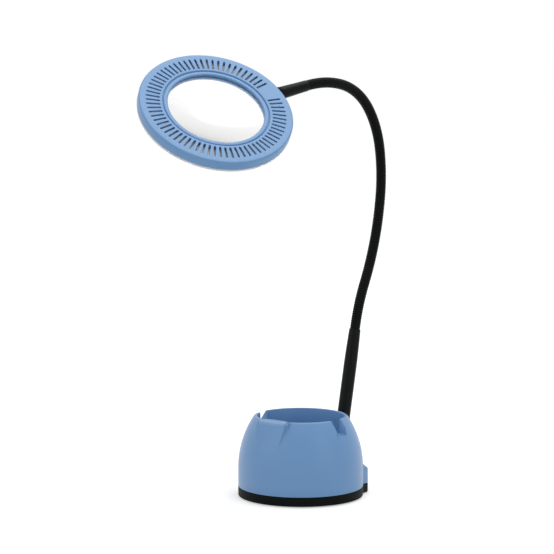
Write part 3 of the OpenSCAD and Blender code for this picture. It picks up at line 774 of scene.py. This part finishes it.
def makeTray():
    # the black ring round the base's foot, with the housing's step at the back
    # ring and step are made too tall and cut level, so that no two faces lie in one plane when they join
    low, high, floor = tray["low"], tray["high"], tray["floorTop"]
    outer, inner = base["radius"], base["radius"] - tray["wall"]
    points = [(0, low - 1), (outer, low - 1), (outer, high + 1), (inner, high + 1), (inner, floor)]
    points += [(0, floor)]
    ring = turned("baseTray", points, base["turnSteps"])
    combine(ring, makeStep("trayStep", 0, outer - 1.2, low - 2, high + 2), "UNION")
    cut(ring, makeStep("stepInside", tray["wall"], inner - 4, floor + 1, high + 3))
    cut(ring, block("levelTop", (-90, -90, high), (90, 95, high + 5)))
    cut(ring, block("levelFoot", (-90, -90, low - 5), (90, 95, low)))
    cut(ring, rod("padSeat", tray["padRadius"], low - 1, tray["padTop"], 128))
    holes = [(a, tray["screwRing"], *bore) for a in tray["screwTurns"] for bore in tray["screwBores"]]
    holes += [(a, tray["ballastRing"], *tray["ballastBore"]) for a in tray["ballastTurns"]]
    for angle, place, radius, top in holes:
        hole = rod("screwHole", radius, -1, top, 24)
        turn = Matrix.Rotation(math.radians(angle), 4, "Z") @ Matrix.Translation((place * mm, 0, 0))
        cut(ring, settle(hole, turn))
    softEdges(ring, tray["soft"], 50, 3)
    smooth(ring, 42)
    return ring


finishPiece(makeTray(), blackPlastic, "root", "black_plastic", "base_tray")
finishPiece(makeJack(), blackPlastic, "root", "black_plastic", "dc_jack")

button = {"low": 78, "gap": 0.2, "sideGap": 0.5, "raised": 0.35, "soft": 0.35}


def makeButton():
    # the middle of the crown, a hair proud of the housing round it
    inner, inset = boss["pocketRadius"] + button["gap"], boss["wall"] + button["sideGap"]
    cap = bossBlock("powerButton", inset, inner, button["low"], boss["high"], boss["soft"] + inset)
    combine(cap, underCrown(button["raised"]), "INTERSECT")
    softEdges(cap, button["soft"], 38, 2)
    return smooth(cap, 42)


finishPiece(makeButton(), blueButtonPaintedSheen, "button", "blue_plastic", "power_button")
print("tray and button made")

# ---- neck ----


def makeLowerSleeve():
    top, shelf, bore = neck["sleeveLength"] - 1.85, neck["shelfTop"], neck["bore"]
    foot, grip, end, gripTop = neck["sleeveFoot"], neck["sleeveGrip"], neck["sleeveTop"], neck["gripTop"]
    points = [(bore, shelf), (foot, shelf), (foot, 43.5), (grip, 47), (grip, 80), (grip, gripTop)]
    for step in range(1, 7):
        share = step / 6
        points.append((grip + (end - grip) * share ** 1.6, gripTop + (top - 1.2 - gripTop) * share))
    points += arcPoints((end - 0.5, top - 0.5), 0.5, 20, 90, 4) + [(bore + 0.4, top), (bore + 0.4, top - 3)]
    points += [(bore, top - 4), (bore, 100), (bore, 50), (bore, shelf)]
    sleeve = settle(turned("lowerSleeve", points, 64), along(footFrame))
    return smooth(sleeve, 50)


def makeUpperSleeve():
    # outside, end face, the ring groove of the swivel clip in the bore, and back to the mouth
    face, groove = neck["upperLength"] - 1.9, neck["upperLength"] + 8.05
    points = [(3.75, 1.1), (5.2, 1.1), (5.55, 1.3), (5.75, 1.8), (5.85, 3), (5.9, 8)]
    points += [(6.05, 15), (6.3, 22), (6.5, 29), (6.55, face - 1), (6.5, face - 0.4), (6.2, face)]
    points += [(2.6, face)]
    points += [(2.6, groove), (2.2, groove), (2.2, groove + 0.9), (2.6, groove + 0.9), (2.6, 48), (1.6, 48)]
    points += [(1.6, 6), (3.75, 4.5), (3.75, 1.1)]
    sleeve = settle(turned("upperSleeve", points, 64), along(neckFrame(neckEnd)))
    return smooth(sleeve, 50)


def makeCollar():
    points = [(2.66, -1.8), (6.4, -1.8)] + arcPoints((6.4, -1.3), 0.5, -90, 0, 4)[1:]
    points += [(6.9, 0), (3.4, 0), (3.4, 8), (2.66, 8), (2.66, -1.8)]
    place = along(straight(neckFrame(neckEnd), neck["upperLength"]))
    return smooth(settle(turned("neckCollar", points, 64), place), 50)


def makeNeckPath():
    # one poly curve down the middle of the ribbed neck, on which every ribbed piece is bent
    deselectAll()
    bpy.ops.curve.primitive_nurbs_path_add()
    path = bpy.context.object
    path.name = "neckPath"
    path.data.splines.clear()
    spline = path.data.splines.new("POLY")
    start, step = neck["sleeveLength"] - 10, 1.25
    count = int((neckEnd + 10 - start) / step) + 1
    spline.points.add(count - 1)
    for i in range(count):
        spline.points[i].co = (*(neckFrame(start + i * step)[0] * mm), 1)
    path.data.dimensions = "3D"
    path.data.twist_mode = "MINIMUM"
    path.data.use_path = True
    return path


def ribbedPiece(name, path, low, high):
    # one rib's outline, wound as a thread by the Screw modifier and cut square at both ends
    pitch, crest, valley = neck["pitch"], neck["crest"], neck["valley"]
    start = neck["sleeveLength"] - 10
    turns = math.ceil((high - low) / pitch) + 2
    first = low - start - pitch - ((low - start) % pitch)
    shape = [(0, valley), (0.22, valley + 0.28), (0.7, crest - 0.04), (1.25, crest), (1.8, crest - 0.04),
             (2.28, valley + 0.28), (pitch, valley)]
    piece = outline(name, [(r, 0, first + z) for z, r in shape])
    wound = piece.modifiers.new("thread", "SCREW")
    wound.axis = "Z"
    wound.screw_offset = pitch * mm
    wound.iterations = turns
    wound.steps = wound.render_steps = neck["turnSteps"]
    wound.use_merge_vertices = False
    wound.use_smooth_shade = True
    applyModifiers(piece)
    editAll(piece)
    bpy.ops.mesh.remove_doubles(threshold=1e-6)
    for height, below in ((low, True), (high, False)):
        bpy.ops.mesh.select_all(action="SELECT")
        bpy.ops.mesh.bisect(plane_co=(0, 0, (height - start) * mm), plane_no=(0, 0, 1),
                            clear_inner=below, clear_outer=not below)
    bpy.ops.mesh.select_all(action="SELECT")
    bpy.ops.mesh.fill_holes(sides=0)
    bpy.ops.mesh.select_all(action="SELECT")
    bpy.ops.mesh.normals_make_consistent(inside=False)
    leaveEdit()
    bent = piece.modifiers.new("bend", "CURVE")
    bent.object = path
    bent.deform_axis = "POS_Z"
    applyModifiers(piece)
    return smooth(piece, 80)


def makeNeck():
    path = makeNeckPath()
    half, reach = neck["stretch"] / 2, 15
    for i in range(8):
        joint = neck["sleeveLength"] + i * neck["stretch"]
        low = joint - half if i else joint - 2.4
        high = joint + half if i < 7 else joint + 1.9
        piece = ribbedPiece(f"ribbedNeck{i + 1}", path, low, high)
        nodes = [f"neck_{k}" for k in (i, i + 1) if 1 <= k <= 7]
        finishPiece(piece, blackNeck, None, "black_neck", *nodes)
        startAt = neckFrame(joint - reach if i else joint - 1.8)[0]
        endAt = neckFrame(joint + reach if i < 7 else joint + 1.6)[0]
        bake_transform(piece)
    bpy.data.objects.remove(path)


makeNeck()
finishPiece(makeLowerSleeve(), blackSleeve, "root", "black_sleeve", "lower_sleeve")
finishPiece(makeUpperSleeve(), blackSleeve, "arm_end", "black_sleeve", "upper_sleeve")
finishPiece(makeCollar(), blackPlastic, "head", "black_plastic", "neck_collar")
print("neck made")

# ---- ring head ----

head = {
    "radius": 80, "wallHeight": 10, "wall": 2, "roll": -46, "axisDrop": 6.5, "topThick": 2,
    "edgeRound": 2, "lipRadius": 56, "lensOpen": 50, "lensRadius": 52, "lensEdge": 2.4,
    "lensFace": 333, "lensMid": -5, "slotPlaces": 72, "slotsLeftOut": 3, "slotWidth": 2.25,
    "slotIn": 58.2, "slotOut": 72.7, "neckHole": 3.5, "diffuserHeight": 3.2, "screwRing": 75.3,
    "screwTurns": (60, 120, 240, 300), "turnSteps": 288,
}


def headMatrix():
    tip = neckFrame(neckEnd)
    up = Matrix.Rotation(math.radians(head["roll"]), 3, tip[1]) @ tip[1].cross(tip[2])
    wall = straight(tip, neck["upperLength"])[0]
    centre = wall + tip[1] * head["radius"] + up * head["axisDrop"]
    x = -tip[1]
    matrix = Matrix((x, up.cross(x), up)).transposed().to_4x4()
    matrix.translation = centre * mm
    return matrix


def makeCover():
    radius, inner = head["radius"], head["radius"] - head["wall"]
    edge, lip, lensIn = head["edgeRound"], head["lipRadius"], head["lensOpen"]
    points = [(lensIn + 0.2, -3.4), (lensIn, -3.2), (lensIn, -1.3), (lensIn + 0.3, -0.8), (lensIn + 1, -0.5)]
    points += [(lip - 2.6, -0.45), (lip - 2, -0.7), (lip - 1.7, -1.5), (lip - 1.4, -1.8), (lip - 0.8, -1.8)]
    points += [(lip - 0.5, -1.3), (lip - 0.3, -0.3), (lip, -0.05), (lip + 0.5, 0), (60, 0), (66, 0), (72, 0)]
    points += arcPoints((radius - edge, -edge), edge, 90, 0, 8)
    foot, under, half = -head["wallHeight"], -head["topThick"], head["slotWidth"] / 2
    points += [(radius, -6), (radius, foot + 0.25), (radius - 0.25, foot), (inner, foot)]
    points += [(inner, under), (66, under), (lip + 1, under)]
    points += [(54.3, -4.4), (54.3, -9), (52.3, -9), (52.3, -3.4), (lensIn + 0.2, -3.4)]
    cover = turned("headCover", points, head["turnSteps"])
    slot = block("slot", (head["slotIn"], -half, -4), (head["slotOut"], half, 2))
    bevelEdges(slot, lambda a, b: abs(a.z - b.z) > 1, 0.85, 4)
    first = (head["slotsLeftOut"] + 1) // 2
    cutters = []
    for i in range(first, head["slotPlaces"] - first + 1):
        cutter = copyOf(slot, "slotCut")
        settle(cutter, Matrix.Rotation(2 * math.pi * i / head["slotPlaces"], 4, "Z"))
        cutters.append(cutter)
    bpy.data.objects.remove(slot)
    cut(cover, joinAll(cutters, "slotCuts"))
    bore, drop = head["neckHole"], head["axisDrop"]
    hole = rod("neckHole", bore, inner - 1, radius + 1, 40)
    turn = Matrix.Translation((0, 0, -drop * mm)) @ Matrix.Rotation(math.pi / 2, 4, "Y")
    cut(cover, settle(hole, turn))
    cut(cover, block("neckSlot", (inner - 1, -bore, -12), (radius + 1, bore, -drop)))
    softEdges(cover, 0.22, 50, 2)
    smooth(cover, 40)
    return settle(cover, headMatrix())


def makeLens():
    face, edge, r = head["lensFace"], head["lensEdge"], head["lensRadius"]
    sag = face - math.sqrt(face ** 2 - r ** 2)
    half = edge / 2 + sag
    places = [r * (i / 24) for i in range(24)] + [r - 0.15]
    top = [(x, head["lensMid"] + half - face + math.sqrt(face ** 2 - x ** 2)) for x in places]
    low = [(x, 2 * head["lensMid"] - z) for x, z in reversed(top)]
    lens = turned("magnifierLens", top + [(r, top[-1][1] - 0.15), (r, low[0][1] + 0.15)] + low, 192)
    smooth(lens, 30)
    return settle(lens, headMatrix())


def makeRetainer():
    seat = head["lensMid"] - head["lensEdge"] / 2 - 0.4
    low = -head["wallHeight"] - head["diffuserHeight"]
    points = [(50.3, seat), (52.2, seat), (52.2, -9.1), (54.6, -9.1), (54.6, low + 0.5)]
    points += arcPoints((54.1, low + 0.5), 0.5, 0, -90, 3)[1:]
    points += arcPoints((50.8, low + 0.5), 0.5, -90, -180, 3)
    points += [(50.3, seat)]
    return settle(smooth(turned("lensRetainer", points, head["turnSteps"]), 40), headMatrix())


def makeDiffuser():
    low, high = -head["wallHeight"] - head["diffuserHeight"], -head["wallHeight"]
    outer, inner, step = head["radius"] - 0.55, 54.8, head["radius"] - head["wall"]
    points = [(inner, low + 0.3), (inner + 0.3, low), (65, low), (outer - 1, low)]
    points += arcPoints((outer - 1, low + 1), 1, -90, 0, 6)[1:]
    points += [(outer, high), (step, high), (step, low + 1.6), (65, low + 1.6), (inner, low + 1.6)]
    points += [(inner, low + 0.3)]
    diffuser = turned("diffuserRing", points, head["turnSteps"])
    for angle in head["screwTurns"]:
        for radius, top in ((1.35, low + 4), (2.25, low + 0.9)):
            hole = rod("screwHole", radius, low - 1, top, 32)
            place = Matrix.Translation((head["screwRing"] * mm, 0, 0))
            cut(diffuser, settle(hole, Matrix.Rotation(math.radians(angle), 4, "Z") @ place))
    smooth(diffuser, 40)
    return settle(diffuser, headMatrix())


finishPiece(makeCover(), bluePlastic, "head", "blue_plastic", "head_cover")
finishPiece(makeLens(), lensGlass, "head", "lens_glass", "lens")
finishPiece(makeRetainer(), bluePlastic, "head", "blue_plastic", "lens_retainer")
finishPiece(makeDiffuser(), frosted, "head", "diffuser_plastic", "diffuser")
print("ring head made")

# ---- floor, backdrop and light ----


def seenDirectly(tree):
    # 1 for what the camera sees, straight, mirrored or through glass; 0 for light that falls on the object
    path = tree.nodes.new("ShaderNodeLightPath")
    value = path.outputs["Is Camera Ray"]
    for label in ("Is Transmission Ray", "Is Glossy Ray"):
        value = mathNode(tree, "MAXIMUM", value, path.outputs[label])
    return value


floorPlane = {"side": 14, "grey": 0.82, "lift": (0.25, 1.6)}


def makeFloor():
    deselectAll()
    bpy.ops.mesh.primitive_plane_add(size=floorPlane["side"], location=(0, 0, 0))
    floor = bpy.context.object
    floor.name = "paleFloor"
    material = bpy.data.materials.new("paleFloor")
    material.use_nodes = True
    tree = material.node_tree
    tree.nodes.clear()
    out = tree.nodes.new("ShaderNodeOutputMaterial")
    plain = tree.nodes.new("ShaderNodeBsdfDiffuse")
    plain.inputs["Color"].default_value = (*[floorPlane["grey"]] * 3, 1)
    # lifted a little round the object, which keeps its shadow, and to full white further off
    away = tree.nodes.new("ShaderNodeVectorMath")
    away.operation = "LENGTH"
    tree.links.new(objectPlace(tree), away.inputs[0])
    amount = rangeNode(tree, away.outputs["Value"], *studio["floorGlow"], *floorPlane["lift"])
    strength = mathNode(tree, "MULTIPLY", seenDirectly(tree), amount)
    lift = tree.nodes.new("ShaderNodeEmission")
    tree.links.new(strength, lift.inputs["Strength"])
    both = tree.nodes.new("ShaderNodeAddShader")
    tree.links.new(plain.outputs[0], both.inputs[0])
    tree.links.new(lift.outputs[0], both.inputs[1])
    tree.links.new(both.outputs[0], out.inputs["Surface"])
    floor.data.materials.append(material)


def makeWorld():
    world = bpy.data.worlds.new("studio")
    scene.world = world
    world.use_nodes = True
    tree = world.node_tree
    tree.nodes.clear()
    out = tree.nodes.new("ShaderNodeOutputWorld")
    background = tree.nodes.new("ShaderNodeBackground")
    strength = rangeNode(tree, seenDirectly(tree), studio["sky"], 1.0)
    tree.links.new(strength, background.inputs["Strength"])
    background.inputs["Color"].default_value = (1, 1, 1, 1)
    tree.links.new(background.outputs[0], out.inputs["Surface"])


def areaLamp(name, place, target, size, power):
    deselectAll()
    look = Vector(target) - Vector(place)
    bpy.ops.object.light_add(type="AREA", location=place, rotation=look.to_track_quat("-Z", "Y").to_euler())
    lamp = bpy.context.object
    lamp.name = name
    lamp.data.shape = "RECTANGLE"
    lamp.data.size, lamp.data.size_y = size
    lamp.data.energy = power


# each lamp's place, size and power; all look at the middle of the neck's rise
studio = {"sky": 0.55, "floorGlow": (0.4, 0.6), "target": (0, 0, 0.2)}
lamps = {
    "overheadSoft": ((0.1, 0.2, 1.9), (1.6, 1.6), 16.0),
    "frontSoft": ((-0.9, -1.7, 1.1), (1.2, 1.4), 4.2),
    "sideSoft": ((1.9, -0.3, 0.9), (1.0, 1.4), 2.6),
}
makeFloor()
makeWorld()
for lampName, (lampPlace, lampSize, lampPower) in lamps.items():
    areaLamp(lampName, lampPlace, studio["target"], lampSize, lampPower)
scene.view_settings.view_transform = "Standard"
print("light and floor made")
